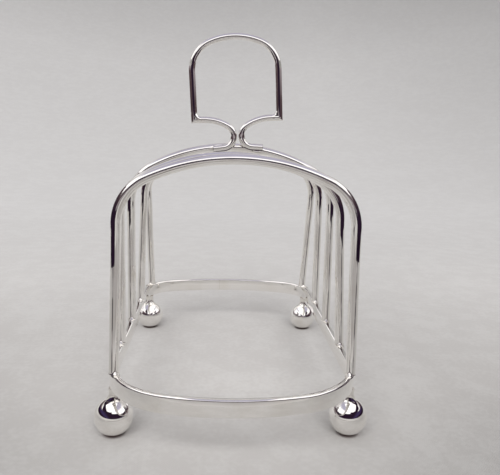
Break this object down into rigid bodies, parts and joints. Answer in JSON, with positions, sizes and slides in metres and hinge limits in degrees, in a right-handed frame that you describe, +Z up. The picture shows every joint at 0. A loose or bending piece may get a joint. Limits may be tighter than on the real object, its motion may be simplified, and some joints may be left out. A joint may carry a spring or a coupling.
{
  "type": "toast rack",
  "caption": "Wire toast rack with arched hoops soldered to a bowed strip base, a bent-wire loop handle on the middle hoop and ball feet.",
  "frame": {"origin": "centre of the rack's box, on the table plane that the balls rest on", "axes": "+X across the rack, +Y from the front end to the back end along the row of hoops, +Z up"},
  "size_m": [0.065, 0.0988, 0.0973],
  "materials": {
    "silver": "polished silver",
    "solder": "polished silver solder"
  },
  "bodies": {
    "root": {"base_band": "silver", "band_seam_solder": "solder", "ball_front_left": "silver", "ball_front_right": "silver", "ball_back_left": "silver", "ball_back_right": "silver", "peg_front_left": "silver", "peg_front_right": "silver", "peg_back_left": "silver", "peg_back_right": "silver", "foot_solder": "solder", "hoop_1": "silver", "hoop_2": "silver", "hoop_3": "silver", "hoop_4": "silver", "hoop_5": "silver", "hoop_1_solder": "solder", "hoop_2_solder": "solder", "hoop_3_solder": "solder", "hoop_4_solder": "solder", "hoop_5_solder": "solder", "handle_wire": "silver", "handle_solder_left": "solder", "handle_solder_right": "solder"}
  },
  "joints": []
}
